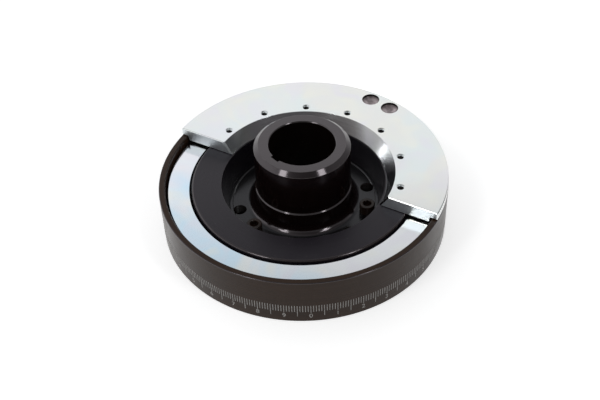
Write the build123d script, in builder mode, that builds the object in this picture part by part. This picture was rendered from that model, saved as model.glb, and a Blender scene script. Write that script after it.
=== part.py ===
from build123d import *
import os
from math import cos, radians, sin, tan

# Harmonic balancer for a V8 crankshaft, a damper of the rubber-ring kind.
# A steel inertia ring floats on rubber rings between an outer and an inner shell.
# Both shells are carried by a keyed crank hub, and a half-ring counterweight is
# bolted to the engine side. Millimetres. The origin is on the crank axis at the
# front face, and +Z points to the engine.

# Outer shell: a turned cup whose wall carries the degree scale
shell_diameter = 179.68
shell_height = 32.66
shell_wall = 3.85
web_thickness = 6.5
shell_edge = 0.5

# Inertia ring and the running gap that its rubber rings keep on all sides.
# The ring takes this share of the room between the recess and the outer shell's wall,
# and the inner shell has the rest.
ring_gap = 1.45
ring_share = 0.4136
ring_thickness = 20.0

# Inner shell: a ring plate inside the inertia ring, with a conical recess round the hub
inner_shell_thickness = 23.18
inner_shell_bevel = 1.2
recess_mouth_diameter = 102.4

# Rubber rings, as squeezed between a groove's floor and the shell that it faces
cord_size = 3.2
groove_inset = 3.2

# Hub: flange, filleted root, seal sleeve and crank bore
hub_flange_diameter = 94.0
hub_flange_thickness = 7.36
flange_clearance = 0.05
land_width = 1.6
land_height = 0.5
pilot_diameter = 64.0
pilot_setback = 0.8
root_diameter = 60.6
root_fillet = 6.1
shoulder_height = 28.35
sleeve_diameter = 59.2
sleeve_height = 59.56
sleeve_chamfer_width = 2.85
sleeve_chamfer_height = 2.5
bore_diameter = 40.64
bore_edge = 0.5
keyway_width = 6.35
keyway_depth = 1.8
keyway_angle = -110.0
washer_recess_diameter = 52.0
washer_recess_depth = 5.0

# Hub fasteners: three cap screws between six tapped holes for the pulley bolts
flange_circle_diameter = 82.6
pulley_hole_diameter = 8.0
pulley_clearance_diameter = 10.0
pulley_hole_count = 6
pulley_hole_angle = 41.0
hub_screw_diameter = 6.35
hub_screw_hole_diameter = 6.8
hub_screw_head_diameter = 9.52
hub_screw_head_height = 6.35
spot_face_diameter = 10.4
hub_screw_socket_width = 4.76
hub_screw_socket_depth = 3.2
hub_screw_count = 3
hub_screw_angle = 11.0
screw_end_clearance = 0.6

# Counterweight: a half ring that stands on the inner shell and overhangs the rim
weight_thickness = 8.65
weight_arc = 180.0
weight_bevel = 0.5
weight_end_edge = 0.45
weight_edge_setback = 0.14
weight_base_setback = 0.7
weight_mouth_margin = 4.6
rim_side_gap = 0.8
rim_top_gap = 0.55

# Balance drillings in the counterweight
balance_drill_diameter = 11.1
balance_drill_depth = 1.4
balance_drill_point = 118.0
balance_drill_inset = 7.7
balance_drill_angles = (74.0, 84.7)

# Countersunk screws through the shells, just outside the middle of the plate
screw_circle_offset = 1.25
shell_screw_diameter = 4.83
shell_screw_hole_diameter = 5.2
shell_screw_head_diameter = 9.4
shell_screw_head_angle = 82.0
shell_screw_head_depth = 0.3
shell_screw_socket_width = 3.175
shell_screw_socket_depth = 1.9
shell_screw_thread_depth = 12.0
shell_screw_count = 3
shell_screw_step_angle = 60.0
weight_screw_thread_depth = 4.4
weight_screw_count = 7
weight_screw_step_angle = 26.3
weight_centre_angle = 90.0

# Worked out from the sizes above
shell_radius = shell_diameter / 2
shell_inside_radius = shell_radius - shell_wall
recess_mouth_radius = recess_mouth_diameter / 2
ring_width = ring_share * (shell_inside_radius - recess_mouth_radius - 2 * ring_gap)
ring_outer_radius = shell_inside_radius - ring_gap
ring_inner_radius = ring_outer_radius - ring_width
inner_shell_radius = ring_inner_radius - ring_gap
inner_shell_top = web_thickness + inner_shell_thickness
ring_bottom = web_thickness + ring_gap
groove_depth = cord_size - ring_gap
flange_radius = hub_flange_diameter / 2
flange_bore_radius = flange_radius + flange_clearance
flange_top = web_thickness + hub_flange_thickness
flange_floor = flange_top - land_height
flange_circle_radius = flange_circle_diameter / 2
pilot_radius = pilot_diameter / 2
root_radius = root_diameter / 2
sleeve_radius = sleeve_diameter / 2
bore_radius = bore_diameter / 2
weight_radius = shell_radius - weight_edge_setback
weight_base_radius = recess_mouth_radius + weight_base_setback
weight_top = inner_shell_top + weight_thickness
overhang_bottom = shell_height + rim_top_gap
screw_circle_radius = (recess_mouth_radius + inner_shell_radius) / 2 + screw_circle_offset
weight_mouth_radius = screw_circle_radius - weight_mouth_margin
screw_radius = shell_screw_diameter / 2
screw_head_radius = shell_screw_head_diameter / 2
head_slope = tan(radians(shell_screw_head_angle / 2))
head_height = (screw_head_radius - screw_radius) / head_slope
sink_radius = screw_head_radius + shell_screw_head_depth * head_slope
balance_drill_radius = balance_drill_diameter / 2
balance_point_height = balance_drill_radius / tan(radians(balance_drill_point / 2))


def fan(centre, step, count):
    """Angles of a row of places, evenly spread to both sides of a centre angle."""
    return [centre + step * (place - (count - 1) / 2) for place in range(count)]


def on_circle(radius, angles):
    """Points at the given angles on a circle round the crank axis."""
    return [(radius * cos(radians(angle)), radius * sin(radians(angle))) for angle in angles]


def at_height(places, height):
    """The same points, lifted to a height."""
    return [(x, y, height) for x, y in places]


def turn_round(start, count):
    """Angles of a pattern that goes all the way round."""
    return [start + 360 / count * place for place in range(count)]


pulley_places = on_circle(flange_circle_radius, turn_round(pulley_hole_angle, pulley_hole_count))
hub_screw_places = on_circle(flange_circle_radius, turn_round(hub_screw_angle, hub_screw_count))
weight_screw_angles = fan(weight_centre_angle, weight_screw_step_angle, weight_screw_count)
shell_screw_angles = fan(weight_centre_angle + 180, shell_screw_step_angle, shell_screw_count)
weight_screw_places = on_circle(screw_circle_radius, weight_screw_angles)
shell_screw_places = on_circle(screw_circle_radius, shell_screw_angles)
balance_places = on_circle(weight_radius - balance_drill_inset, balance_drill_angles)

os.makedirs("parts", exist_ok=True)

# Outer shell
with BuildPart() as outer_shell:
    with BuildSketch(Plane.XZ):
        with BuildLine():
            Polyline(
                (pilot_radius, 0),
                (shell_radius, 0),
                (shell_radius, shell_height),
                (shell_inside_radius, shell_height),
                (shell_inside_radius, web_thickness),
                (pilot_radius, web_thickness),
                close=True,
            )
        make_face()
    revolve(axis=Axis.Z)
    rim_edges = outer_shell.faces().sort_by(Axis.Z)[-1].edges()
    front_edge = outer_shell.faces().sort_by(Axis.Z)[0].edges().sort_by(SortBy.RADIUS)[-1:]
    chamfer(rim_edges + front_edge, length=shell_edge)
    # Clearance holes for the pulley bolts and tapped holes for the hub screws
    with BuildSketch(Plane.XY):
        with Locations(*pulley_places):
            Circle(pulley_clearance_diameter / 2)
        with Locations(*hub_screw_places):
            Circle(hub_screw_diameter / 2)
        with Locations(*weight_screw_places, *shell_screw_places):
            Circle(shell_screw_hole_diameter / 2)
    extrude(amount=web_thickness, mode=Mode.SUBTRACT)
    # Countersinks in the front face, deep enough to set the heads a little below it
    with Locations(*at_height(weight_screw_places + shell_screw_places, 0)):
        Cone(
            sink_radius,
            screw_radius,
            shell_screw_head_depth + head_height,
            align=(Align.CENTER, Align.CENTER, Align.MIN),
            mode=Mode.SUBTRACT,
        )

# Inner shell
with BuildPart() as inner_shell:
    with BuildSketch(Plane.XZ):
        with BuildLine():
            Polyline(
                (flange_bore_radius, web_thickness),
                (inner_shell_radius, web_thickness),
                (inner_shell_radius, inner_shell_top - inner_shell_bevel),
                (inner_shell_radius - inner_shell_bevel, inner_shell_top),
                (recess_mouth_radius, inner_shell_top),
                (flange_bore_radius, flange_top),
                close=True,
            )
        make_face()
    revolve(axis=Axis.Z)
    with BuildSketch(Plane.XY.offset(web_thickness)):
        with Locations(*weight_screw_places):
            Circle(shell_screw_hole_diameter / 2)
    extrude(amount=inner_shell_thickness, mode=Mode.SUBTRACT)
    with BuildSketch(Plane.XY.offset(web_thickness)):
        with Locations(*shell_screw_places):
            Circle(screw_radius)
    extrude(amount=shell_screw_thread_depth + screw_end_clearance, mode=Mode.SUBTRACT)

# Inertia ring, with a groove for each rubber ring
groove_heights = (
    ring_bottom + groove_inset + cord_size / 2,
    ring_bottom + ring_thickness - groove_inset - cord_size / 2,
)
with BuildPart() as inertia_ring:
    with BuildSketch(Plane.XZ):
        with Locations((ring_inner_radius, ring_bottom)):
            Rectangle(ring_outer_radius - ring_inner_radius, ring_thickness, align=Align.MIN)
        for height in groove_heights:
            with Locations((ring_outer_radius, height)):
                Rectangle(groove_depth, cord_size, align=(Align.MAX, Align.CENTER), mode=Mode.SUBTRACT)
            with Locations((ring_inner_radius, height)):
                Rectangle(groove_depth, cord_size, align=(Align.MIN, Align.CENTER), mode=Mode.SUBTRACT)
    revolve(axis=Axis.Z)

# Rubber rings: the outer pair seats in the outer shell, the inner pair on the inner shell
cord_centres = {
    "outer": shell_inside_radius - cord_size / 2,
    "inner": inner_shell_radius + cord_size / 2,
}
for side, cord_radius in cord_centres.items():
    for end, height in zip(("front", "rear"), groove_heights):
        with BuildPart() as o_ring:
            with BuildSketch(Plane.XZ):
                with Locations((cord_radius, height)):
                    Rectangle(cord_size, cord_size)
            revolve(axis=Axis.Z)
        o_ring.part.label = f"{side}_o_ring_{end}"
        export_step(o_ring.part, f"parts/{side}_o_ring_{end}.step")

# Hub
with BuildPart() as hub:
    with BuildSketch(Plane.XZ):
        with BuildLine():
            Polyline(
                (bore_radius, pilot_setback + washer_recess_depth),
                (washer_recess_diameter / 2, pilot_setback + washer_recess_depth),
                (washer_recess_diameter / 2, pilot_setback),
                (pilot_radius, pilot_setback),
                (pilot_radius, web_thickness),
                (flange_radius, web_thickness),
                (flange_radius, flange_top),
                (flange_radius - land_width, flange_top),
                (flange_radius - land_width - land_height, flange_floor),
                (root_radius, flange_floor),
                (root_radius, shoulder_height - root_radius + sleeve_radius),
                (sleeve_radius, shoulder_height),
                (sleeve_radius, sleeve_height - sleeve_chamfer_height),
                (sleeve_radius - sleeve_chamfer_width, sleeve_height),
                (bore_radius + bore_edge, sleeve_height),
                (bore_radius, sleeve_height - bore_edge),
                close=True,
            )
        make_face()
        root_corner = vertices().sort_by_distance((root_radius, flange_floor))[0]
        fillet(root_corner, radius=root_fillet)
    revolve(axis=Axis.Z)
    # Keyway along the whole bore
    with BuildSketch(Plane.XY.rotated((0, 0, keyway_angle))):
        Rectangle(bore_radius + keyway_depth, keyway_width, align=(Align.MIN, Align.CENTER))
    extrude(amount=sleeve_height, mode=Mode.SUBTRACT)
    # Tapped holes for the pulley bolts and clearance holes for the hub screws
    with BuildSketch(Plane.XY.offset(web_thickness)):
        with Locations(*pulley_places):
            Circle(pulley_hole_diameter / 2)
        with Locations(*hub_screw_places):
            Circle(hub_screw_hole_diameter / 2)
    extrude(amount=hub_flange_thickness, mode=Mode.SUBTRACT)
    # Spot faces that let the screw heads sit on the floor beside the land
    with BuildSketch(Plane.XY.offset(flange_floor)):
        with Locations(*hub_screw_places):
            Circle(spot_face_diameter / 2)
    extrude(amount=land_height, mode=Mode.SUBTRACT)

# Hub screws: heads on the flange floor, threads in the web
with BuildPart() as hub_screws:
    with BuildSketch(Plane.XY.offset(flange_floor)):
        with Locations(*hub_screw_places):
            Circle(hub_screw_head_diameter / 2)
    extrude(amount=hub_screw_head_height)
    with BuildSketch(Plane.XY.offset(screw_end_clearance)):
        with Locations(*hub_screw_places):
            Circle(hub_screw_diameter / 2)
    extrude(amount=flange_floor - screw_end_clearance)
    with BuildSketch(Plane.XY.offset(flange_floor + hub_screw_head_height)):
        with Locations(*hub_screw_places):
            RegularPolygon(hub_screw_socket_width / 2, 6, major_radius=False)
    extrude(amount=-hub_screw_socket_depth, mode=Mode.SUBTRACT)

# Counterweight: turned as a full ring, then cut to its arc
with BuildPart() as counterweight:
    with BuildSketch(Plane.XZ):
        with BuildLine():
            Polyline(
                (weight_base_radius, inner_shell_top),
                (shell_inside_radius - rim_side_gap, inner_shell_top),
                (shell_inside_radius - rim_side_gap, overhang_bottom),
                (weight_radius, overhang_bottom),
                (weight_radius, weight_top - weight_bevel),
                (weight_radius - weight_bevel, weight_top),
                (weight_mouth_radius, weight_top),
                close=True,
            )
        make_face()
    revolve(axis=Axis.Z, revolution_arc=weight_arc)
    # The cut ends have their corners broken all round
    end_faces = counterweight.faces().filter_by(GeomType.PLANE).filter_by(Axis.Z, reverse=True)
    chamfer(end_faces.edges(), length=weight_end_edge)
    with BuildSketch(Plane.XY.offset(inner_shell_top)):
        with Locations(*weight_screw_places):
            Circle(screw_radius)
    extrude(amount=weight_thickness, mode=Mode.SUBTRACT)
    # Balance drillings with a drill point at the bottom
    with BuildSketch(Plane.XY.offset(weight_top)):
        with Locations(*balance_places):
            Circle(balance_drill_radius)
    extrude(amount=-balance_drill_depth, mode=Mode.SUBTRACT)
    with Locations(*at_height(balance_places, weight_top - balance_drill_depth)):
        Cone(
            0,
            balance_drill_radius,
            balance_point_height,
            align=(Align.CENTER, Align.CENTER, Align.MAX),
            mode=Mode.SUBTRACT,
        )

# Countersunk screws: long ones into the counterweight, short ones into the inner shell
screw_rows = {
    "counterweight_screws": (weight_screw_places, inner_shell_top + weight_screw_thread_depth),
    "shell_screws": (shell_screw_places, web_thickness + shell_screw_thread_depth),
}
for row_name, (places, tip_height) in screw_rows.items():
    with BuildPart() as screws:
        with Locations(*at_height(places, shell_screw_head_depth)):
            Cone(
                screw_head_radius,
                screw_radius,
                head_height,
                align=(Align.CENTER, Align.CENTER, Align.MIN),
            )
        with BuildSketch(Plane.XY.offset(shell_screw_head_depth + head_height)):
            with Locations(*places):
                Circle(screw_radius)
        extrude(amount=tip_height - shell_screw_head_depth - head_height)
        with BuildSketch(Plane.XY.offset(shell_screw_head_depth)):
            with Locations(*places):
                RegularPolygon(shell_screw_socket_width / 2, 6, major_radius=False)
        extrude(amount=shell_screw_socket_depth, mode=Mode.SUBTRACT)
    screws.part.label = row_name
    export_step(screws.part, f"parts/{row_name}.step")

outer_shell.part.label = "outer_shell"
inner_shell.part.label = "inner_shell"
inertia_ring.part.label = "inertia_ring"
hub.part.label = "hub"
hub_screws.part.label = "hub_screws"
counterweight.part.label = "counterweight"
export_step(outer_shell.part, "parts/outer_shell.step")
export_step(inner_shell.part, "parts/inner_shell.step")
export_step(inertia_ring.part, "parts/inertia_ring.step")
export_step(hub.part, "parts/hub.step")
export_step(hub_screws.part, "parts/hub_screws.step")
export_step(counterweight.part, "parts/counterweight.step")
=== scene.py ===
"""Harmonic balancer: turned, drilled and threaded pieces, their finishes, studio and camera."""

import math

import bmesh
import bpy
from mathutils import Matrix, Vector

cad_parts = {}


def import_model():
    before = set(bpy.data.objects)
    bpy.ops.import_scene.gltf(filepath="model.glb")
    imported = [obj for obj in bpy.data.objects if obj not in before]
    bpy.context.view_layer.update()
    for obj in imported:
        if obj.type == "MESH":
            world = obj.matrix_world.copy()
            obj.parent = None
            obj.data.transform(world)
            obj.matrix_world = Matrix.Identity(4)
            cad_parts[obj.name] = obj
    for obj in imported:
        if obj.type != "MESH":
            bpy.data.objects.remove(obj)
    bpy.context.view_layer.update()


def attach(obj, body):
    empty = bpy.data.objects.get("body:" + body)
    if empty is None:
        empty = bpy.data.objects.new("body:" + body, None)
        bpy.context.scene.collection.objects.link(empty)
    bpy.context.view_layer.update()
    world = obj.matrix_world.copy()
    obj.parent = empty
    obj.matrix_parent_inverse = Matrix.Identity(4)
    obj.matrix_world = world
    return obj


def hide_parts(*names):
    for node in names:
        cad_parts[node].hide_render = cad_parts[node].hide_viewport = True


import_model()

MM = 0.001

# Sizes in millimetres and degrees, as in the part's source. Heights (..._TOP, ..._Z) are
# above the front face, which stands on the floor, and ..._R is a radius.

# Outer shell
SHELL_R, SHELL_BORE, SHELL_TOP, SHELL_EDGE = 89.84, 85.99, 32.66, 0.5
WEB_TOP, WEB_BORE = 6.5, 32.0
CLEARANCE_R, HUB_SCREW_THREAD_R, SHELL_HOLE_R = 5.0, 2.9, 2.6
HOLE_EDGE = 0.5
SINK_MOUTH = (2.4, 2.76)

# Inertia ring and the rubber rings in its grooves
RING_IN, RING_OUT, RING_LOW, RING_HIGH = 71.35, 84.54, 7.95, 27.95
CORD, GROOVE_INSET = 3.2, 3.2

# Inner shell
PLATE_R, PLATE_TOP, PLATE_RIM = 69.90, 29.68, 1.2
MOUTH_R, SEAT_R = 51.2, 47.05

# Hub, from its front end to the sleeve
WASHER_R, WASHER_Z, PILOT_Z = 26.0, 5.8, 0.8
FLANGE_R, FLANGE_TOP, FLOOR_Z = 47.0, 13.86, 13.36
LAND_WIDTH, LAND_FOOT = 1.6, 2.1
ROOT_R, ROOT_FILLET, SHOULDER_Z, SHOULDER_RISE = 30.3, 6.1, 28.35, 0.7
SLEEVE_R, SLEEVE_TOP, SLEEVE_LEAD = 29.6, 59.56, (2.85, 2.5)
BORE_R, BORE_EDGE = 20.32, 0.5
KEY_WIDTH, KEY_REACH, KEY_LOW, KEY_HIGH, KEY_ANGLE = 6.35, 22.12, -5, 65, -110
PULLEY_HOLE_R, PULLEY_HOLE_EDGE = 4.0, 0.2
HUB_SCREW_HOLE_R, SPOT_FACE_R = 3.4, 5.2

# Counterweight
WEIGHT_R, WEIGHT_TOP, WEIGHT_MOUTH, WEIGHT_BASE = 89.70, 38.33, 57.2, 51.9
WEIGHT_STEP_R, WEIGHT_STEP_Z, WEIGHT_BEVEL = 85.19, 33.21, 0.5
INNER_CORNER, END_CORNER = 1.0, 0.45
WEIGHT_HOLE_R, WEIGHT_HOLE_MOUTH = 2.05, (0.65, 0.4)
# Below this depth, in mm, painted shade replaces the zinc in the weight's tapped holes
SHADE_START_DEPTH = 1.6
BALANCE_R, BALANCE_TIP, BALANCE_FLOOR, BALANCE_EDGE = 5.55, 33.6, 36.93, 0.15

# Cap screws: head, knurling, shank, and the socket with its drilled floor and wide mouth
HEAD_R, HEAD_TOP, HEAD_CORNER = 4.76, 19.71, 0.45
KNURLS, KNURL_DEPTH = 40, 0.17
SHANK_R, SHANK_TIP, SHANK_TOP, SHANK_POINT = 3.1, 0.6, 13.5, 0.5
HEAD_SOCKET, HEAD_SOCKET_Z, HEAD_DRILL_R, HEAD_DRILL_Z = 4.76, 16.5, 1.9, 15.4
HEAD_MOUTH_R, HEAD_MOUTH_Z, HEAD_MOUTH_RISE = 2.3, 19.2, 0.9

# Countersunk screws, their heads just under the front face
SUNK_R, SUNK_FACE, SUNK_RIM, SUNK_FOOT = 4.7, 0.3, 0.15, 3.2
SUNK_SHANK_R, SUNK_POINT = 2.05, (0.45, 0.5)
SUNK_SOCKET, SUNK_SOCKET_Z, SUNK_DRILL_R, SUNK_DRILL_Z = 3.175, 2.2, 1.3, 2.9
WEIGHT_SCREW_TIP, SHELL_SCREW_TIP = 34.08, 18.5

# Degree scale
SCALE_TOP, SCALE_TURN = 13.7, 0.67
TENTH_LOW, FIFTH_LOW, DEGREE_LOW = 7.4, 4.7, 8.5
MARK_WIDTH, MARK_HEIGHT = 0.36, 0.03
FIGURE_SIZE, FIGURE_FOOT = 4.6, 3.55

# Circles and angles of the holes
FLANGE_CIRCLE, SCREW_CIRCLE, BALANCE_CIRCLE = 41.3, 61.8, 82.0
PULLEY_ANGLES = [41 + 60 * k for k in range(6)]
HUB_SCREW_ANGLES = [11 + 120 * k for k in range(3)]
WEIGHT_SCREW_ANGLES = [90 + 26.3 * (k - 3) for k in range(7)]
SHELL_SCREW_ANGLES = [210, 270, 330]
BALANCE_ANGLES = [74.0, 84.7]

# How finely shapes are turned, and the turn that keeps a thread's seam off its hole's lines
RING_STEPS = 192
HOLE_STEPS = 40
THREAD_STEPS = 28
SEAM_TURN = 4.1

# The angle past which an edge is sharp, and the small rounds that break such edges
SHARP = math.radians(34)
EDGE_ROUND, PLATE_ROUND = 0.12, 0.15


# Modelling tools


def spin(bm, geom, angle, steps, merged, climb=0.0):
    """Sweeps lines round the crank axis, climbing by some metres at each step."""
    return bmesh.ops.spin(
        bm,
        geom=geom,
        cent=(0, 0, 0),
        axis=(0, 0, 1),
        dvec=(0, 0, climb),
        angle=angle,
        steps=steps,
        use_merge=merged,
        use_duplicate=False,
    )


def turned(outline, steps=RING_STEPS, arc=360.0):
    """A solid turned about the crank axis from its half section, (radius, height) in mm."""
    bm = bmesh.new()
    line = [bm.verts.new((r * MM, 0, z * MM)) for r, z in outline]
    edges = [bm.edges.new(pair) for pair in zip(line, line[1:])]
    if outline[0][0] > 0:
        edges.append(bm.edges.new((line[-1], line[0])))
    full = arc == 360.0
    swept = spin(bm, line + edges, math.radians(arc), steps, full)
    if not full:
        last = [e for e in swept["geom_last"] if isinstance(e, bmesh.types.BMEdge)]
        for loop in (edges, last):
            bmesh.ops.contextual_create(bm, geom=loop)
    bmesh.ops.remove_doubles(bm, verts=bm.verts, dist=0.002 * MM)
    bmesh.ops.recalc_face_normals(bm, faces=bm.faces)
    return bm


def rounded(radius, top, size, count=6):
    """Half-section points round an outer upper corner, from the wall to the top face, in mm."""
    swings = [math.radians(90 * k / count) for k in range(count + 1)]
    return [(radius - size + size * math.cos(a), top - size + size * math.sin(a)) for a in swings]


def hole(radius, low, high, low_mouth=(0, 0), high_mouth=(0, 0), past=1.0):
    """A cutter for a hole between two faces, with a mouth, (wider by, deep), at each, in mm."""
    foot, head = radius + low_mouth[0], radius + high_mouth[0]
    line = [(0, low - past), (foot, low - past)]
    if foot > radius:
        line += [(foot, low), (radius, low + low_mouth[1])]
    if head > radius:
        line += [(radius, high - high_mouth[1]), (head, high)]
    return turned([*line, (head, high + past), (0, high + past)], HOLE_STEPS)


def prism(radius, low, high, sides):
    """An upright prism or fine cylinder on the crank axis, in mm."""
    bm = bmesh.new()
    disc = bmesh.ops.create_circle(bm, cap_ends=True, radius=radius * MM, segments=sides)
    bmesh.ops.translate(bm, verts=disc["verts"], vec=(0, 0, low * MM))
    top = bmesh.ops.extrude_face_region(bm, geom=bm.faces[:])["geom"]
    raised = [v for v in top if isinstance(v, bmesh.types.BMVert)]
    bmesh.ops.translate(bm, verts=raised, vec=(0, 0, (high - low) * MM))
    bmesh.ops.recalc_face_normals(bm, faces=bm.faces)
    return bm


def hexagon(width, low, high):
    """A cutter for a hexagon socket, from its width across the flats, in mm."""
    return prism(width / 2 / math.cos(math.radians(30)), low, high, 6)


def thread(radius, pitch, depth, low, high):
    """A screw-shaped cutter: a zigzag line turned once while it climbs one pitch, in mm."""
    bm = bmesh.new()
    turns = math.ceil((high - low) / pitch)
    line = []
    for k in range(turns):
        line.append(bm.verts.new((radius * MM, 0, (low + k * pitch) * MM)))
        line.append(bm.verts.new(((radius + depth) * MM, 0, (low + (k + 0.5) * pitch) * MM)))
    line.append(bm.verts.new((radius * MM, 0, (low + turns * pitch) * MM)))
    edges = [bm.edges.new(pair) for pair in zip(line, line[1:])]
    spin(bm, line + edges, math.tau, THREAD_STEPS, False, climb=pitch * MM / THREAD_STEPS)
    bmesh.ops.remove_doubles(bm, verts=bm.verts, dist=0.002 * MM)
    middle = (low + high) / 2 * MM
    for above in (False, True):
        rim = [e for e in bm.edges if e.is_boundary and (e.verts[0].co.z > middle) == above]
        lid = bmesh.ops.extrude_edge_only(bm, edges=rim)["geom"]
        tip = [v for v in lid if isinstance(v, bmesh.types.BMVert)]
        height = sum(v.co.z for v in tip) / len(tip)
        bmesh.ops.pointmerge(bm, verts=tip, merge_co=(0, 0, height))
    bmesh.ops.recalc_face_normals(bm, faces=bm.faces)
    turn_about_axis(bm, bm.verts, SEAM_TURN)
    return bm


def turn_about_axis(bm, verts, angle):
    """Turns some corners of a shape about the crank axis by an angle in degrees."""
    turn = Matrix.Rotation(math.radians(angle), 3, "Z")
    bmesh.ops.rotate(bm, verts=verts, cent=(0, 0, 0), matrix=turn)


def on_circle(bm, radius, angles):
    """Moves a shape out from the axis and repeats it at each angle, in mm and degrees."""
    bmesh.ops.translate(bm, verts=bm.verts, vec=(radius * MM, 0, 0))
    first = bm.verts[:] + bm.edges[:] + bm.faces[:]
    for angle in angles[1:]:
        copy = bmesh.ops.duplicate(bm, geom=first)["geom"]
        corners = [v for v in copy if isinstance(v, bmesh.types.BMVert)]
        turn_about_axis(bm, corners, angle - angles[0])
    turn_about_axis(bm, bm.verts, angles[0])
    return bm


def bevel(bm, edges, width, segments):
    """Bevels some edges, in mm, and gives the new faces."""
    return bmesh.ops.bevel(
        bm,
        geom=edges,
        offset=width * MM,
        offset_type="OFFSET",
        segments=segments,
        profile=0.5,
        affect="EDGES",
        clamp_overlap=True,
        material=-1,
    )["faces"]


def break_edges(bm, edges, width, segments=1):
    """Bevels some edges, in mm, and marks the new faces as edge faces, which show wear."""
    mark = bm.faces.layers.float.get("edge") or bm.faces.layers.float.new("edge")
    for face in bevel(bm, edges, width, segments):
        face[mark] = 1.0


def round_edges(bm, width):
    """Breaks every sharp edge of a shape by a small round, in mm."""
    sharp = [e for e in bm.edges if len(e.link_faces) == 2 and e.calc_face_angle(0) > SHARP]
    break_edges(bm, sharp, width, 3)


def give_finish(bm, number, lowest=-1000.0, highest=1000.0, inside=1000.0, outside=0.0):
    """Gives faces one of the piece's finishes, by their middle's height and radius in mm."""
    for face in bm.faces:
        middle = face.calc_center_median() / MM
        if lowest <= middle.z <= highest and outside <= middle.xy.length < inside:
            face.material_index = number


def merge(*shapes):
    """Several separate shapes as one."""
    whole = shapes[0]
    for shape in shapes[1:]:
        mesh = bpy.data.meshes.new("shape")
        shape.to_mesh(mesh)
        shape.free()
        whole.from_mesh(mesh)
        bpy.data.meshes.remove(mesh)
    return whole


def as_object(name, bm, *materials):
    """A piece in the scene, made of a bmesh."""
    mesh = bpy.data.meshes.new(name)
    bm.to_mesh(mesh)
    bm.free()
    for material in materials:
        mesh.materials.append(material)
    piece = bpy.data.objects.new(name, mesh)
    bpy.context.scene.collection.objects.link(piece)
    return piece


def as_mesh(piece):
    """A piece's mesh with its modifiers applied."""
    bpy.context.view_layer.update()
    seen = piece.evaluated_get(bpy.context.evaluated_depsgraph_get())
    return bpy.data.meshes.new_from_object(seen)


def carve(piece, *cutters):
    """Cuts each shape out of a piece, one after the other, with the cutter's finish numbers."""
    for bm in cutters:
        cutter = as_object("cutter", bm, *piece.data.materials)
        cut = piece.modifiers.new("cut", "BOOLEAN")
        cut.operation = "DIFFERENCE"
        cut.solver = "EXACT"
        cut.object = cutter
        cut.material_mode = "TRANSFER"
        mesh = as_mesh(piece)
        piece.modifiers.remove(cut)
        old, piece.data = piece.data, mesh
        mesh.name = piece.name
        bpy.data.meshes.remove(old)
        bpy.data.objects.remove(cutter)


def finish_piece(piece, node):
    """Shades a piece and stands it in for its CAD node."""
    bm = bmesh.new()
    bm.from_mesh(piece.data)
    bmesh.ops.remove_doubles(bm, verts=bm.verts, dist=0.001 * MM)
    bmesh.ops.dissolve_degenerate(bm, edges=bm.edges, dist=0.0005 * MM)
    for face in bm.faces:
        face.smooth = True
    for edge in bm.edges:
        edge.smooth = len(edge.link_faces) == 2 and edge.calc_face_angle(0) < SHARP
    bm.to_mesh(piece.data)
    bm.free()
    even = piece.modifiers.new("flat faces stay flat", "WEIGHTED_NORMAL")
    even.keep_sharp = True
    if node:
        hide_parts(node)
    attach(piece, "root")


# Shader tools


def fill(tree, node, **values):
    """Sets a node's inputs, by name or as i and a number; a socket value links instead."""
    for key, value in values.items():
        place = int(key[1:]) if key[0] == "i" and key[1:].isdigit() else key.replace("_", " ")
        if isinstance(value, bpy.types.NodeSocket):
            tree.links.new(value, node.inputs[place])
        else:
            node.inputs[place].default_value = value
    return node


def add(tree, kind, **values):
    """A node with its properties and inputs set."""
    node = tree.nodes.new(kind)
    settings = {key: value for key, value in values.items() if key in node.bl_rna.properties}
    for key, value in settings.items():
        setattr(node, key, value)
    return fill(tree, node, **{key: value for key, value in values.items() if key not in settings})


def use(tree, group, **values):
    """A shared effect placed in a material."""
    return fill(tree, add(tree, "ShaderNodeGroup", node_tree=group), **values)


def place_on_part(tree):
    """The place on the part, in metres."""
    return add(tree, "ShaderNodeTexCoord").outputs["Object"]


def maths(tree, operation, *values):
    """A Math node's output."""
    sums = {f"i{k}": value for k, value in enumerate(values)}
    return add(tree, "ShaderNodeMath", operation=operation, **sums).outputs[0]


def vectors(tree, operation, *values):
    """A Vector Math node's output, a number for a length or a dot product."""
    sums = {f"i{k}": value for k, value in enumerate(values)}
    node = add(tree, "ShaderNodeVectorMath", operation=operation, **sums)
    return node.outputs["Value" if operation in ("LENGTH", "DOT_PRODUCT") else "Vector"]


def noise(tree, place, scale, detail, **more):
    """A noise texture's value at a place."""
    node = add(tree, "ShaderNodeTexNoise", Vector=place, Scale=scale, Detail=detail, **more)
    return node.outputs["Fac"]


def noise_line(tree, value, **more):
    """A noise texture's value along one number."""
    node = add(
        tree, "ShaderNodeTexNoise", noise_dimensions="1D", W=value, Scale=1.0, Detail=3.0, **more
    )
    return node.outputs["Fac"]


def spread(tree, value, low, high, start=0.0, end=1.0, **more):
    """A value from start to end mapped to low to high."""
    limits = {"From_Min": start, "From_Max": end, "To_Min": low, "To_Max": high}
    return add(tree, "ShaderNodeMapRange", Value=value, **limits, **more).outputs["Result"]


def mixed(tree, factor, first, second):
    """A colour between two colours."""
    node = add(tree, "ShaderNodeMix", data_type="RGBA", i0=factor, i6=first, i7=second)
    return node.outputs[2]


def mottled(tree, value, first, second):
    """A colour that goes from one to another where a noise value crosses its middle."""
    return mixed(tree, spread(tree, value, 0.0, 1.0, 0.35, 0.65), first, second)


def relief(tree, shader, height, strength, distance=0.00002):
    """Shallow relief in a material, its depth in metres."""
    node = add(tree, "ShaderNodeBump", Strength=strength, Distance=distance, Height=height)
    fill(tree, shader, Normal=node.outputs["Normal"])


def stretch_shine(tree, shader, arm, amount):
    """Stretches the shine across marks that run round an upright axis, from the arm to it."""
    around = vectors(tree, "CROSS_PRODUCT", arm, (0, 0, 1))
    fill(tree, shader, Tangent=around, Anisotropic=amount, Anisotropic_Rotation=0.25)


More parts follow.
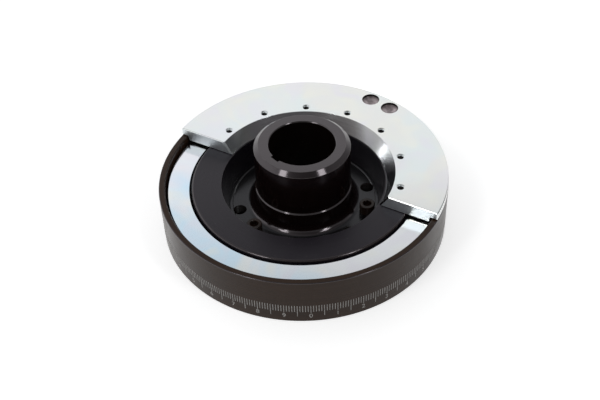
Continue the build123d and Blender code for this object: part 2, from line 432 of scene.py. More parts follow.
def blank(name):
    """A material with its tree and its Principled shader."""
    material = bpy.data.materials.new(name)
    material.use_nodes = True
    tree = material.node_tree
    return material, tree, tree.nodes["Principled BSDF"]


# Shared effects


def new_group(name, inputs, outputs):
    """A shader node group with number inputs, {name: default}, and number outputs."""
    group = bpy.data.node_groups.new(name, "ShaderNodeTree")
    for label, default in inputs.items():
        socket = group.interface.new_socket(label, in_out="INPUT", socket_type="NodeSocketFloat")
        socket.default_value = default
    for label in outputs:
        group.interface.new_socket(label, in_out="OUTPUT", socket_type="NodeSocketFloat")
    source = group.nodes.new("NodeGroupInput")
    target = group.nodes.new("NodeGroupOutput")
    return group, source.outputs, target


def tool_mark_group():
    """Lathe marks: rings on flat faces and lines round walls, from the place on the part."""
    group, given, target = new_group("tool_marks", {"Lines per metre": 3000.0}, ["Fine", "Bands"])
    axes = add(group, "ShaderNodeSeparateXYZ", Vector=place_on_part(group)).outputs
    across = maths(group, "POWER", axes["X"], 2.0)
    along = maths(group, "POWER", axes["Y"], 2.0)
    radius = maths(group, "SQRT", maths(group, "ADD", across, along))
    feed = maths(group, "SUBTRACT", radius, axes["Z"])
    for label, share in (("Fine", 1.0), ("Bands", 0.06)):
        step = maths(group, "MULTIPLY", given["Lines per metre"], share)
        line = noise_line(group, maths(group, "MULTIPLY", feed, step), Roughness=0.6)
        fill(group, target, **{label: line})
    return group


def edge_wear_group():
    """Where a rounded edge has lost its finish: the piece's edge faces, broken up by noise."""
    group, given, target = new_group("edge_wear", {"Amount": 0.5, "Grain size": 300.0}, ["Mask"])
    edge = add(group, "ShaderNodeAttribute", attribute_name="edge").outputs["Fac"]
    grain = noise(group, place_on_part(group), given["Grain size"], 4.0)
    worn = maths(group, "MULTIPLY", edge, spread(group, grain, 0.2, 1.0, 0.38, 0.62))
    fill(group, target, Mask=maths(group, "MULTIPLY", worn, given["Amount"]))
    return group


def handling_group():
    """Soft smears and specks of dust left by hands and cloths."""
    group, given, target = new_group("handling", {"Size": 30.0, "Specks": 0.3}, ["Smear", "Dust"])
    place = place_on_part(group)
    smear = noise(group, place, given["Size"], 5.0, Roughness=0.55, Distortion=0.8)
    cells = add(group, "ShaderNodeTexVoronoi", Vector=place, Scale=420.0, Randomness=1.0)
    near = maths(group, "LESS_THAN", cells.outputs["Distance"], 0.09)
    pick = add(group, "ShaderNodeSeparateColor", Color=cells.outputs["Color"]).outputs[0]
    few = maths(group, "MULTIPLY", near, maths(group, "GREATER_THAN", pick, 0.86))
    fill(group, target, Smear=smear, Dust=maths(group, "MULTIPLY", few, given["Specks"]))
    return group


TOOL_MARKS = tool_mark_group()
EDGE_WEAR = edge_wear_group()
HANDLING = handling_group()


# Finishes

WORN_STEEL = (0.16, 0.15, 0.14, 1)
DUST = (0.25, 0.24, 0.23, 1)
ZINC_YELLOW = (0.86, 0.86, 0.78, 1)
ZINC_LAVENDER = (0.80, 0.78, 0.86, 1)
# Painted shade for the outer corner of the balance drillings
DRILLING_CORNER_SHADE = (0.09, 0.075, 0.07, 1)


def black_finish(
    name,
    dark,
    light,
    gloss,
    lines,
    wear,
    specular,
    smear=0.08,
    bump=0.12,
    stretch=0.0,
    sheen=(1, 1, 1, 1),
):
    """Blackened steel: a near-black colour, lathe marks, smears, and wear on the edges; also the
    painted shade inside holes.
    """
    material, tree, shader = blank(name)
    marks = use(tree, TOOL_MARKS, Lines_per_metre=lines).outputs
    worn = use(tree, EDGE_WEAR, Amount=wear).outputs["Mask"]
    hands = use(tree, HANDLING, Size=26.0, Specks=0.2).outputs
    shade = maths(tree, "MULTIPLY", marks["Bands"], 0.6)
    shade = maths(tree, "ADD", shade, maths(tree, "MULTIPLY", hands["Smear"], 0.4))
    colour = mixed(tree, worn, mottled(tree, shade, dark, light), WORN_STEEL)
    colour = mixed(tree, hands["Dust"], colour, DUST)
    rough = spread(tree, hands["Smear"], gloss - smear * 0.5, gloss + smear, 0.35, 0.65)
    rough = maths(tree, "ADD", rough, spread(tree, marks["Fine"], -0.03, 0.03, 0.3, 0.7))
    fill(tree, shader, Base_Color=colour, Roughness=rough)
    fill(tree, shader, Specular_IOR_Level=specular, Specular_Tint=sheen)
    relief(tree, shader, marks["Fine"], bump)
    if stretch:
        stretch_shine(tree, shader, place_on_part(tree), stretch)
    return material


def zinc_finish(name, tint_a, tint_b, gloss, lines, bump, stretch=0.0, blue_side=None):
    """Bright zinc plate on turned steel, its tint changing over the surface in soft clouds.

    Where a blue side is given, as an angle, the first tint gathers there.
    """
    material, tree, shader = blank(name)
    marks = use(tree, TOOL_MARKS, Lines_per_metre=lines).outputs
    hands = use(tree, HANDLING, Size=18.0, Specks=0.0).outputs
    place = place_on_part(tree)
    bloom = noise(tree, place, 22.0, 2.0, Distortion=1.2)
    if blue_side is not None:
        turn = math.radians(blue_side)
        side = vectors(tree, "DOT_PRODUCT", place, (3.0 * math.cos(turn), 3.0 * math.sin(turn), 0))
        bloom = maths(tree, "ADD", maths(tree, "SUBTRACT", bloom, side), 0.16)
    colour = mixed(tree, spread(tree, bloom, 0.0, 1.0, 0.36, 0.64), tint_a, tint_b)
    cloud = noise(tree, place, 48.0, 1.0, Distortion=0.8)
    colour = mixed(tree, spread(tree, cloud, 0.0, 0.45, 0.52, 0.68), colour, ZINC_YELLOW)
    colour = mixed(tree, spread(tree, cloud, 0.4, 0.0, 0.34, 0.46), colour, ZINC_LAVENDER)
    rough = spread(tree, hands["Smear"], gloss - 0.02, gloss + 0.04, 0.35, 0.65)
    rough = maths(tree, "ADD", rough, spread(tree, marks["Fine"], -0.02, 0.02, 0.3, 0.7))
    fill(tree, shader, Base_Color=colour, Roughness=rough, Metallic=1.0)
    relief(tree, shader, marks["Fine"], bump)
    if stretch:
        stretch_shine(tree, shader, place, stretch)
    return material


def sawn_finish():
    """Duller zinc plate on the half ring's sawn ends and first threads: upright scratches."""
    material, tree, shader = blank("zinc_sawn_ends")
    place = place_on_part(tree)
    drawn = add(tree, "ShaderNodeMapping", Vector=place, Scale=(2400.0, 2400.0, 90.0))
    scratch = noise(tree, drawn.outputs["Vector"], 1.0, 3.0)
    colour = mottled(tree, scratch, (0.76, 0.82, 0.84, 1), (0.85, 0.89, 0.90, 1))
    rough = spread(tree, scratch, 0.38, 0.52, 0.35, 0.65)
    fill(tree, shader, Base_Color=colour, Roughness=rough, Metallic=1.0)
    relief(tree, shader, scratch, 0.07)
    return material


def drilled_finish():
    """Bare drilled steel: rings left by the drill's lips round the middle of each drilling, and
    painted shade that darkens each cone towards its corner with the wall.
    """
    material, tree, shader = blank("drilled_steel")
    place = place_on_part(tree)
    arms = []
    for angle in BALANCE_ANGLES:
        turn = Matrix.Rotation(math.radians(angle), 3, "Z")
        tip = turn @ Vector((BALANCE_CIRCLE, 0, BALANCE_TIP)) * MM
        arms.append(vectors(tree, "SUBTRACT", place, tip))
    reaches = [vectors(tree, "LENGTH", arm) for arm in arms]
    near = maths(tree, "MINIMUM", *reaches)
    second = maths(tree, "GREATER_THAN", *reaches)
    rings = noise_line(tree, maths(tree, "MULTIPLY", near, 5200.0))
    stain = noise(tree, place, 420.0, 3.0)
    colour = mottled(tree, stain, (0.36, 0.30, 0.31, 1), (0.56, 0.49, 0.50, 1))
    # Painted shade: the cone darkens towards its corner with the wall, where the drilling lies in
    # shade.
    colour = mixed(tree, spread(tree, near, 0.0, 0.85, 0.0045, 0.0064), colour, DRILLING_CORNER_SHADE)
    rough = spread(tree, rings, 0.26, 0.42, 0.3, 0.7)
    fill(tree, shader, Base_Color=colour, Roughness=rough, Metallic=1.0)
    relief(tree, shader, rings, 0.3)
    arm = add(tree, "ShaderNodeMix", data_type="VECTOR", i0=second, i4=arms[0], i5=arms[1])
    stretch_shine(tree, shader, arm.outputs[1], 0.7)
    return material


def rubber_finish():
    """Matt black rubber with a faint bloom."""
    material, tree, shader = blank("black_rubber")
    grain = noise(tree, place_on_part(tree), 900.0, 3.0)
    bloom = use(tree, HANDLING, Size=60.0, Specks=0.4).outputs["Smear"]
    colour = mixed(tree, bloom, (0.006, 0.006, 0.006, 1), (0.02, 0.02, 0.019, 1))
    fill(tree, shader, Base_Color=colour, Roughness=spread(tree, grain, 0.55, 0.8))
    relief(tree, shader, grain, 0.3, distance=0.00004)
    return material


def mark_finish():
    """Laser-etched scale marks: pale grey, a little uneven."""
    material, tree, shader = blank("etched_marks")
    grain = noise(tree, place_on_part(tree), 700.0, 4.0)
    colour = mottled(tree, grain, (0.34, 0.33, 0.32, 1), (0.54, 0.53, 0.51, 1))
    fill(tree, shader, Base_Color=colour, Roughness=spread(tree, grain, 0.5, 0.75))
    return material


SHELL_BLACK = black_finish(
    "shell_black_oxide",
    (0.0260, 0.0135, 0.0078, 1),
    (0.0360, 0.0190, 0.0110, 1),
    gloss=0.22,
    lines=2600.0,
    wear=0.5,
    specular=0.16,
)
PLATE_BLACK = black_finish(
    "plate_black_oxide",
    (0.0055, 0.0038, 0.0072, 1),
    (0.0082, 0.0062, 0.0102, 1),
    gloss=0.30,
    lines=2200.0,
    wear=0.35,
    specular=0.4,
    smear=0.05,
    bump=0.04,
    stretch=0.75,
    sheen=(0.98, 0.93, 1.0, 1),
)
GLOSS_BLACK = black_finish(
    "gloss_black_oxide",
    (0.0035, 0.0012, 0.0010, 1),
    (0.0070, 0.0035, 0.0030, 1),
    gloss=0.12,
    lines=3200.0,
    wear=0.3,
    specular=1.0,
    smear=0.03,
    bump=0.04,
    stretch=0.5,
    sheen=(0.95, 0.87, 0.92, 1),
)
FLANGE_BLACK = black_finish(
    "flange_black_oxide",
    (0.0035, 0.0030, 0.0035, 1),
    (0.0060, 0.0055, 0.0060, 1),
    gloss=0.18,
    lines=2400.0,
    wear=0.3,
    specular=0.45,
    smear=0.05,
    bump=0.04,
    sheen=(0.93, 0.93, 1.0, 1),
)
BORE_BLACK = black_finish(
    "bore_black_oxide",
    (0.0030, 0.0013, 0.0008, 1),
    (0.0050, 0.0025, 0.0018, 1),
    gloss=0.30,
    lines=3600.0,
    wear=0.3,
    specular=0.2,
    stretch=0.4,
)
SCREW_BLACK = black_finish(
    "screw_black_oxide",
    (0.0100, 0.0050, 0.0035, 1),
    (0.0260, 0.0130, 0.0090, 1),
    gloss=0.26,
    lines=4200.0,
    wear=0.9,
    specular=0.25,
)
# Painted shade: a dull near-black for the insides of tapped holes and the balance drillings' walls,
# which lie in shade.
TAPPED_HOLE_SHADE = black_finish(
    "tapped_hole_painted_shade",
    (0.0040, 0.0020, 0.0015, 1),
    (0.0120, 0.0060, 0.0050, 1),
    gloss=0.45,
    lines=4200.0,
    wear=0.0,
    specular=0.3,
)
ZINC_RING = zinc_finish(
    "zinc_plated_ring",
    (0.66, 0.82, 0.94, 1),
    (0.84, 0.86, 0.88, 1),
    gloss=0.13,
    lines=3000.0,
    bump=0.03,
    blue_side=-95,
)
ZINC_WEIGHT = zinc_finish(
    "zinc_plated_weight",
    (0.78, 0.83, 0.83, 1),
    (0.82, 0.82, 0.80, 1),
    gloss=0.13,
    lines=2600.0,
    bump=0.03,
)
ZINC_CONE = zinc_finish(
    "zinc_plated_cone",
    (0.78, 0.82, 0.82, 1),
    (0.84, 0.84, 0.83, 1),
    gloss=0.15,
    lines=2600.0,
    bump=0.05,
    stretch=0.4,
)
ZINC_SAWN = sawn_finish()
DRILLED_STEEL = drilled_finish()
RUBBER = rubber_finish()
SCALE_MARKS = mark_finish()


# Pieces


def outer_shell():
    """Turned cup with its wall, web, pulley clearance holes, tapped holes and countersinks."""
    bm = turned(
        [
            (WEB_BORE, 0),
            (SHELL_R - SHELL_EDGE, 0),
            (SHELL_R, SHELL_EDGE),
            *rounded(SHELL_R, SHELL_TOP, SHELL_EDGE, 4),
            (SHELL_BORE + SHELL_EDGE, SHELL_TOP),
            (SHELL_BORE, SHELL_TOP - SHELL_EDGE),
            (SHELL_BORE, WEB_TOP + 1.0),
            (SHELL_BORE - 0.3, WEB_TOP + 0.3),
            (SHELL_BORE - 1.0, WEB_TOP),
            (WEB_BORE, WEB_TOP),
        ]
    )
    round_edges(bm, EDGE_ROUND)
    give_finish(bm, 1, lowest=SHELL_TOP - SHELL_EDGE, outside=SHELL_R - SHELL_EDGE)
    piece = as_object("outer_shell_cup", bm, SHELL_BLACK, GLOSS_BLACK)
    edge = (HOLE_EDGE, HOLE_EDGE)
    clearance = hole(CLEARANCE_R, 0, WEB_TOP, low_mouth=edge, high_mouth=edge)
    screw_hole = hole(HUB_SCREW_THREAD_R, 0, WEB_TOP, low_mouth=edge)
    sink = hole(SHELL_HOLE_R, 0, WEB_TOP, low_mouth=SINK_MOUTH)
    cutter = merge(
        on_circle(clearance, FLANGE_CIRCLE, PULLEY_ANGLES),
        on_circle(screw_hole, FLANGE_CIRCLE, HUB_SCREW_ANGLES),
        on_circle(sink, SCREW_CIRCLE, WEIGHT_SCREW_ANGLES + SHELL_SCREW_ANGLES),
    )
    carve(piece, cutter)
    finish_piece(piece, "outer_shell")


def inner_shell():
    """Ring plate inside the inertia ring, with its rounded rim and conical recess."""
    rim = rounded(PLATE_R, PLATE_TOP, PLATE_RIM)
    foot = [(SEAT_R, WEB_TOP), (PLATE_R, WEB_TOP)]
    bm = turned([*foot, *rim, (MOUTH_R, PLATE_TOP), (SEAT_R, FLANGE_TOP)])
    round_edges(bm, PLATE_ROUND)
    give_finish(bm, 1, lowest=PLATE_TOP - PLATE_RIM, outside=PLATE_R - PLATE_RIM)
    piece = as_object("inner_shell_plate", bm, PLATE_BLACK, GLOSS_BLACK)
    screw_hole = hole(SHELL_HOLE_R, WEB_TOP, PLATE_TOP)
    carve(piece, on_circle(screw_hole, SCREW_CIRCLE, WEIGHT_SCREW_ANGLES))
    finish_piece(piece, "inner_shell")


def inertia_ring():
    """Heavy ring, nearly sharp at its corners, with a groove for each rubber ring."""
    floor_out = SHELL_BORE - CORD
    floor_in = PLATE_R + CORD
    lows = [RING_LOW + GROOVE_INSET, RING_HIGH - GROOVE_INSET - CORD]
    outline = [(RING_IN, RING_LOW), (RING_OUT, RING_LOW)]
    for low in lows:
        high = low + CORD
        outline += [(RING_OUT, low), (floor_out, low), (floor_out, high), (RING_OUT, high)]
    outline += [(RING_OUT, RING_HIGH), (RING_IN, RING_HIGH)]
    for low in reversed(lows):
        high = low + CORD
        outline += [(RING_IN, high), (floor_in, high), (floor_in, low), (RING_IN, low)]
    bm = turned(outline)
    round_edges(bm, PLATE_ROUND)
    piece = as_object("inertia_ring_turned", bm, ZINC_RING)
    finish_piece(piece, "inertia_ring")


def rubber_ring(name, node, radius, height):
    """A round rubber cord, joined into a ring."""
    bm = bmesh.new()
    circle = bmesh.ops.create_circle(bm, cap_ends=False, radius=CORD / 2 * MM, segments=20)["verts"]
    upright = Matrix.Rotation(math.pi / 2, 3, "X")
    bmesh.ops.rotate(bm, verts=circle, cent=(0, 0, 0), matrix=upright)
    bmesh.ops.translate(bm, verts=circle, vec=(radius * MM, 0, height * MM))
    spin(bm, bm.verts[:] + bm.edges[:], math.tau, RING_STEPS, True)
    bmesh.ops.recalc_face_normals(bm, faces=bm.faces)
    finish_piece(as_object(name, bm, RUBBER), node)


def rubber_rings():
    """The four rubber rings."""
    heights = {
        "front": RING_LOW + GROOVE_INSET + CORD / 2,
        "rear": RING_HIGH - GROOVE_INSET - CORD / 2,
    }
    radii = {"outer": SHELL_BORE - CORD / 2, "inner": PLATE_R + CORD / 2}
    for side, radius in radii.items():
        for end, height in heights.items():
            rubber_ring(f"{side}_rubber_{end}", f"{side}_o_ring_{end}", radius, height)


def crank_hub():
    """Hub: flange, filleted root, seal sleeve, keyed bore, and its holes."""
    swings = [math.radians(270 - 90 * k / 8) for k in range(9)]
    middle_r, middle_z = ROOT_R + ROOT_FILLET, FLOOR_Z + ROOT_FILLET
    fillet = [
        (middle_r + ROOT_FILLET * math.cos(a), middle_z + ROOT_FILLET * math.sin(a)) for a in swings
    ]
    lead_width, lead_height = SLEEVE_LEAD
    bm = turned(
        [
            (BORE_R + BORE_EDGE, WASHER_Z),
            (WASHER_R, WASHER_Z),
            (WASHER_R, PILOT_Z),
            (WEB_BORE, PILOT_Z),
            (WEB_BORE, WEB_TOP),
            (FLANGE_R, WEB_TOP),
            (FLANGE_R, FLANGE_TOP),
            (FLANGE_R - LAND_WIDTH, FLANGE_TOP),
            (FLANGE_R - LAND_FOOT, FLOOR_Z),
            *fillet,
            (ROOT_R, SHOULDER_Z - SHOULDER_RISE),
            (SLEEVE_R, SHOULDER_Z),
            (SLEEVE_R, SLEEVE_TOP - lead_height),
            (SLEEVE_R - lead_width, SLEEVE_TOP),
            (BORE_R + BORE_EDGE, SLEEVE_TOP),
            (BORE_R, SLEEVE_TOP - BORE_EDGE),
            (BORE_R, WASHER_Z + BORE_EDGE),
        ]
    )
    round_edges(bm, EDGE_ROUND)
    give_finish(bm, 1, highest=FLANGE_TOP + 0.1)
    give_finish(bm, 3, inside=BORE_R + 0.1)
    piece = as_object("crank_hub", bm, GLOSS_BLACK, FLANGE_BLACK, TAPPED_HOLE_SHADE, BORE_BLACK)
    key = bmesh.new()
    bmesh.ops.create_cube(key, size=1.0)
    size = Vector((KEY_REACH, KEY_WIDTH, KEY_HIGH - KEY_LOW)) * MM
    bmesh.ops.scale(key, verts=key.verts, vec=size)
    middle = Vector((KEY_REACH, 0, KEY_HIGH + KEY_LOW)) / 2 * MM
    bmesh.ops.translate(key, verts=key.verts, vec=middle)
    turn_about_axis(key, key.verts, KEY_ANGLE)
    tapped = hole(
        PULLEY_HOLE_R,
        WEB_TOP,
        FLOOR_Z,
        low_mouth=(HOLE_EDGE, HOLE_EDGE),
        high_mouth=(PULLEY_HOLE_EDGE, PULLEY_HOLE_EDGE),
    )
    clear = hole(HUB_SCREW_HOLE_R, WEB_TOP, FLOOR_Z, high_mouth=(SPOT_FACE_R - HUB_SCREW_HOLE_R, 0))
    ridges = thread(radius=3.9, pitch=1.27, depth=0.6, low=5.0, high=15.0)
    # The pulley holes and their threads take the tapped holes' painted shade, a duller, less
    # reflective black.
    for cutter in (tapped, ridges):
        give_finish(cutter, 2)
    holes = merge(
        on_circle(tapped, FLANGE_CIRCLE, PULLEY_ANGLES),
        on_circle(clear, FLANGE_CIRCLE, HUB_SCREW_ANGLES),
    )
    carve(piece, key, holes, on_circle(ridges, FLANGE_CIRCLE, PULLEY_ANGLES))
    finish_piece(piece, "hub")


def cap_screws():
    """Three socket-head cap screws with knurled heads, their heads down on the flange."""
    head = prism(HEAD_R, FLOOR_Z, HEAD_TOP, 2 * KNURLS)
    for vert in head.verts:
        step = round(math.degrees(math.atan2(vert.co.y, vert.co.x)) / (180 / KNURLS))
        if step % 2:
            vert.co.xy *= 1 - KNURL_DEPTH / HEAD_R
    top = [e for e in head.edges if min(v.co.z for v in e.verts) > (HEAD_TOP - 1) * MM]
    bevel(head, top, HEAD_CORNER, 3)
    heads = on_circle(head, FLANGE_CIRCLE, HUB_SCREW_ANGLES)
    piece = as_object("hub_cap_screws", heads, SCREW_BLACK)
    socket = hexagon(HEAD_SOCKET, HEAD_SOCKET_Z, HEAD_TOP + 1)
    edge_z = HEAD_SOCKET_Z + 0.2
    drill = turned(
        [(0, HEAD_DRILL_Z), (HEAD_DRILL_R, HEAD_SOCKET_Z), (HEAD_DRILL_R, edge_z), (0, edge_z)], 32
    )
    wide_r, wide_z = HEAD_MOUTH_R + HEAD_MOUTH_RISE, HEAD_MOUTH_Z + HEAD_MOUTH_RISE
    mouth = turned(
        [(0, HEAD_MOUTH_Z), (HEAD_MOUTH_R, HEAD_MOUTH_Z), (wide_r, wide_z), (0, wide_z)], 32
    )
    carve(piece, *(on_circle(bm, FLANGE_CIRCLE, HUB_SCREW_ANGLES) for bm in (socket, drill, mouth)))
    # A cut can lose one of two shapes that overlap, so the shanks, which reach into the heads,
    # are added after the cuts.
    shank = turned(
        [
            (0, SHANK_TIP),
            (SHANK_R - SHANK_POINT, SHANK_TIP),
            (SHANK_R, SHANK_TIP + SHANK_POINT),
            (SHANK_R, SHANK_TOP),
            (0, SHANK_TOP),
        ],
        HOLE_STEPS,
    )
    shanks = on_circle(shank, FLANGE_CIRCLE, HUB_SCREW_ANGLES)
    shanks.from_mesh(piece.data)
    shanks.to_mesh(piece.data)
    shanks.free()
    finish_piece(piece, "hub_screws")


def sawn_ends(bm):
    """The two flat faces where the half ring is cut off along the X axis."""
    return [f for f in bm.faces if abs(f.calc_center_median().y) < 0.01 * MM]


def counterweight():
    """Half ring over the rim, with seven tapped holes and two balance drillings."""
    outline = [
        (WEIGHT_BASE, PLATE_TOP),
        (WEIGHT_STEP_R, PLATE_TOP),
        (WEIGHT_STEP_R, WEIGHT_STEP_Z),
        (WEIGHT_R, WEIGHT_STEP_Z),
        (WEIGHT_R, WEIGHT_TOP - WEIGHT_BEVEL),
        (WEIGHT_R - WEIGHT_BEVEL, WEIGHT_TOP),
        (WEIGHT_MOUTH, WEIGHT_TOP),
    ]
    bm = turned(outline, RING_STEPS // 2, arc=180.0)

    def reach(edge):
        return max(v.co.xy.length for v in edge.verts) / MM

    ends = sawn_ends(bm)
    for face in ends:
        face.material_index = 1
    rims = {e for f in ends for e in f.edges}
    break_edges(bm, [e for e in rims if reach(e) < WEIGHT_MOUTH + 0.1], INNER_CORNER)
    rims = {e for f in sawn_ends(bm) for e in f.edges if e.calc_face_angle(0) > SHARP}
    inner = {e for e in rims if reach(e) < WEIGHT_MOUTH + 1.5}
    break_edges(bm, list(rims - inner), END_CORNER)
    round_edges(bm, EDGE_ROUND)
    # The cone gets its finish last, because a bevel between two finishes picks either.
    for face in bm.faces:
        if 0.4 < face.normal.z < 0.65 and face.calc_center_median().xy.length < WEIGHT_MOUTH * MM:
            face.material_index = 4
    finishes = (ZINC_WEIGHT, ZINC_SAWN, DRILLED_STEEL, TAPPED_HOLE_SHADE, ZINC_CONE)
    piece = as_object("counterweight_half_ring", bm, *finishes)
    tapped = hole(WEIGHT_HOLE_R, PLATE_TOP, WEIGHT_TOP, high_mouth=WEIGHT_HOLE_MOUTH)
    ridges = thread(radius=1.95, pitch=0.794, depth=0.5, low=33.0, high=40.0)
    for cutter in (tapped, ridges):
        # Threads: duller zinc near the mouth, painted shade deeper down.
        give_finish(cutter, 1, highest=WEIGHT_TOP - WEIGHT_HOLE_MOUTH[1])
        give_finish(cutter, 3, highest=WEIGHT_TOP - SHADE_START_DEPTH)
    mouth_r = BALANCE_R + BALANCE_EDGE
    drilled = turned(
        [
            (0, BALANCE_TIP),
            (BALANCE_R, BALANCE_FLOOR),
            (BALANCE_R, WEIGHT_TOP - BALANCE_EDGE),
            (mouth_r, WEIGHT_TOP),
            (mouth_r, WEIGHT_TOP + 1),
            (0, WEIGHT_TOP + 1),
        ],
        64,
    )
    # The drillings' walls take the painted shade of the holes; their cones are bare steel.
    give_finish(drilled, 3)
    give_finish(drilled, 2, highest=BALANCE_FLOOR - 0.1)
    carve(
        piece,
        on_circle(tapped, SCREW_CIRCLE, WEIGHT_SCREW_ANGLES),
        on_circle(ridges, SCREW_CIRCLE, WEIGHT_SCREW_ANGLES),
        on_circle(drilled, BALANCE_CIRCLE, BALANCE_ANGLES),
    )
    finish_piece(piece, "counterweight")


def countersunk_screws(name, node, angles, tip):
    """A row of hex-socket countersunk screws put in from the front face."""
    point_width, point_height = SUNK_POINT
    screw = turned(
        [
            (0, SUNK_FACE),
            (SUNK_R - SUNK_RIM, SUNK_FACE),
            (SUNK_R, SUNK_FACE + SUNK_RIM),
            (SUNK_SHANK_R, SUNK_FOOT),
            (SUNK_SHANK_R, tip - point_height),
            (SUNK_SHANK_R - point_width, tip),
            (0, tip),
        ],
        HOLE_STEPS,
    )
    piece = as_object(name, on_circle(screw, SCREW_CIRCLE, angles), SCREW_BLACK)
    socket = hexagon(SUNK_SOCKET, -1, SUNK_SOCKET_Z)
    side_z, foot_z = SUNK_SOCKET_Z - 0.1, SUNK_SOCKET_Z - 0.2
    drill = turned(
        [(0, SUNK_DRILL_Z), (SUNK_DRILL_R, side_z), (SUNK_DRILL_R, foot_z), (0, foot_z)], 24
    )
    carve(piece, on_circle(socket, SCREW_CIRCLE, angles), on_circle(drill, SCREW_CIRCLE, angles))
    finish_piece(piece, node)


def curl(bm, angle):
    """Bends a flat shape (across, up, out) in metres round the shell's wall, at an angle."""
    for vert in bm.verts:
        across, up, out = vert.co
        turn = math.radians(angle) + across / (SHELL_R * MM)
        reach = SHELL_R * MM + out
        vert.co = (reach * math.cos(turn), reach * math.sin(turn), up)


def figure(digit):
    """One raised figure, flat, in metres."""
    text = bpy.data.curves.new("figure", "FONT")
    text.body = str(digit)
    text.size = FIGURE_SIZE * MM
    text.align_x = "CENTER"
    text.extrude = MARK_HEIGHT * MM
    holder = bpy.data.objects.new("figure", text)
    bpy.context.scene.collection.objects.link(holder)
    mesh = as_mesh(holder)
    bm = bmesh.new()
    bm.from_mesh(mesh)
    bmesh.ops.remove_doubles(bm, verts=bm.verts, dist=0.001 * MM)
    bpy.data.objects.remove(holder)
    bpy.data.curves.remove(text)
    bpy.data.meshes.remove(mesh)
    return bm


def degree_scale():
    """A mark each degree round the wall, longer each fifth, with a figure each tenth."""
    whole = bmesh.new()
    for degree in range(360):
        low = TENTH_LOW if degree % 10 == 0 else FIFTH_LOW if degree % 5 == 0 else DEGREE_LOW
        size = Vector((MARK_WIDTH, SCALE_TOP - low, 2 * MARK_HEIGHT)) * MM
        mark = bmesh.new()
        bmesh.ops.create_cube(mark, size=1.0)
        bmesh.ops.scale(mark, verts=mark.verts, vec=size)
        bmesh.ops.translate(mark, verts=mark.verts, vec=(0, (SCALE_TOP + low) / 2 * MM, 0))
        curl(mark, degree + SCALE_TURN)
        merge(whole, mark)
    for tens in range(36):
        sign = figure(tens % 10)
        bmesh.ops.translate(sign, verts=sign.verts, vec=(0, FIGURE_FOOT * MM, 0))
        curl(sign, tens * 10 + SCALE_TURN)
        merge(whole, sign)
    finish_piece(as_object("degree_scale", whole, SCALE_MARKS), None)


# Studio and camera. Angles in the studio are counted from the camera's own side.

CAMERA_TURN = math.radians(30.0)
CAMERA_TIP = math.radians(43.45)
CAMERA_ROLL = -0.04173
CAMERA_DISTANCE, CAMERA_ASIDE, CAMERA_ABOVE = 0.64192, -0.002941, 0.008621
CAMERA_LENS, SENSOR_WIDTH = 59.70, 36.0
FLOOR_REACH, FLOOR_GREY, FLOOR_GLOW = 6.0, 0.86, 0.56
LAMP_DISTANCE = 1.2


def level_way(degrees):
    """A level direction, counted anticlockwise from the camera's right."""
    turn = CAMERA_TURN + math.radians(degrees)
    return Vector((math.cos(turn), math.sin(turn), 0))


def floor():
    """Pale floor that shows white, with the object's shadow left on it."""
    bm = bmesh.new()
    bmesh.ops.create_grid(bm, x_segments=1, y_segments=1, size=FLOOR_REACH)
    material, tree, shader = blank("floor_white")
    rays = add(tree, "ShaderNodeLightPath").outputs
    seen = maths(tree, "MAXIMUM", rays["Is Camera Ray"], rays["Is Glossy Ray"])
    seen = maths(tree, "MAXIMUM", seen, rays["Is Transmission Ray"])
    reach = vectors(tree, "LENGTH", place_on_part(tree))
    outside = maths(tree, "GREATER_THAN", reach, (SHELL_R - 1.5) * MM)
    shown = maths(tree, "MULTIPLY", maths(tree, "MULTIPLY", seen, outside), FLOOR_GLOW)
    fill(
        tree,
        shader,
        Base_Color=(FLOOR_GREY, FLOOR_GREY, FLOOR_GREY, 1),
        Roughness=0.9,
        Specular_IOR_Level=0.0,
        Emission_Color=(1, 1, 1, 1),
        Emission_Strength=shown,
    )
    as_object("floor", bm, material)


def world():
    """A bright sweep behind and to the left, a dimmer ceiling and front, white for the camera."""
    studio = bpy.data.worlds.new("studio")
    bpy.context.scene.world = studio
    studio.use_nodes = True
    tree = studio.node_tree
    way = add(tree, "ShaderNodeTexCoord").outputs["Generated"]

    def fade(value, start, end, low, high):
        return spread(tree, value, low, high, start, end, interpolation_type="SMOOTHSTEP")

    height = add(tree, "ShaderNodeSeparateXYZ", Vector=way).outputs["Z"]
    glow = vectors(tree, "DOT_PRODUCT", way, level_way(-225))
    back = vectors(tree, "DOT_PRODUCT", way, level_way(90))
    lee = vectors(tree, "DOT_PRODUCT", way, level_way(0))
    level = fade(height, 0.64, 0.82, 1.0, 0.42)
    level = maths(tree, "MULTIPLY", level, fade(glow, -0.55, 0.5, 0.35, 1.0))
    dim = maths(tree, "MULTIPLY", fade(back, 0.1, 0.75, 1.0, 0.0), fade(lee, 0.0, 0.6, 0.6, 0.88))
    dim = maths(tree, "MULTIPLY", dim, fade(height, 0.12, 0.46, 1.0, 0.0))
    level = maths(tree, "MULTIPLY", level, maths(tree, "SUBTRACT", 1.0, dim))
    colour = mixed(tree, level, (0.0, 0.0, 0.0, 1), (0.98, 0.99, 1.0, 1))
    seen = add(tree, "ShaderNodeLightPath").outputs["Is Camera Ray"]
    colour = mixed(tree, seen, colour, (1, 1, 1, 1))
    fill(tree, tree.nodes["Background"], Color=colour, Strength=1.0)


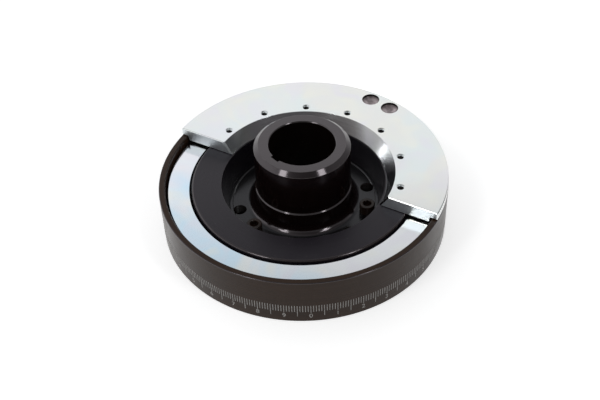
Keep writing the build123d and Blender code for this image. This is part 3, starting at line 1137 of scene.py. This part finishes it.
def softbox(name, azimuth, elevation, size, radiance):
    """A tall soft light aimed at the part, at an azimuth from the camera's side."""
    data = bpy.data.lights.new(name, "AREA")
    data.shape = "RECTANGLE"
    data.size, data.size_y = size
    data.energy = radiance * math.pi * size[0] * size[1]
    rise = math.radians(elevation)
    way = level_way(azimuth - 90) * math.cos(rise) + Vector((0, 0, math.sin(rise)))
    lamp = bpy.data.objects.new(name, data)
    lamp.location = way * LAMP_DISTANCE
    lamp.rotation_euler = way.to_track_quat("Z", "Y").to_euler()
    bpy.context.scene.collection.objects.link(lamp)


def camera():
    """The camera, turned from the -Y side, tipped down and rolled a little."""
    level = level_way(0)
    forward = level_way(90) * math.cos(CAMERA_TIP) - Vector((0, 0, math.sin(CAMERA_TIP)))
    rise = level.cross(forward)
    right = level * math.cos(CAMERA_ROLL) + rise * math.sin(CAMERA_ROLL)
    up = rise * math.cos(CAMERA_ROLL) - level * math.sin(CAMERA_ROLL)
    data = bpy.data.cameras.new("camera")
    data.lens = CAMERA_LENS
    data.sensor_width = SENSOR_WIDTH
    data.clip_start = 0.01
    holder = bpy.data.objects.new("camera", data)
    bpy.context.scene.collection.objects.link(holder)
    pose = Matrix((right, up, -forward)).transposed().to_4x4()
    pose.translation = up * CAMERA_ABOVE + right * CAMERA_ASIDE - forward * CAMERA_DISTANCE
    holder.matrix_world = pose
    bpy.context.scene.camera = holder


camera()
world()
floor()
softbox("softbox_left", azimuth=-54, elevation=52, size=(0.22, 0.34), radiance=5.0)
softbox("softbox_right", azimuth=50, elevation=52, size=(0.22, 0.34), radiance=5.0)
softbox("strip_left", azimuth=-42, elevation=42, size=(0.10, 0.22), radiance=7.0)
softbox("strip_right", azimuth=45, elevation=42, size=(0.10, 0.22), radiance=7.0)

outer_shell()
inner_shell()
inertia_ring()
rubber_rings()
crank_hub()
cap_screws()
counterweight()
countersunk_screws(
    "counterweight_long_screws", "counterweight_screws", WEIGHT_SCREW_ANGLES, WEIGHT_SCREW_TIP
)
countersunk_screws("shell_short_screws", "shell_screws", SHELL_SCREW_ANGLES, SHELL_SCREW_TIP)
degree_scale()

bpy.context.scene.view_settings.view_transform = "Standard"
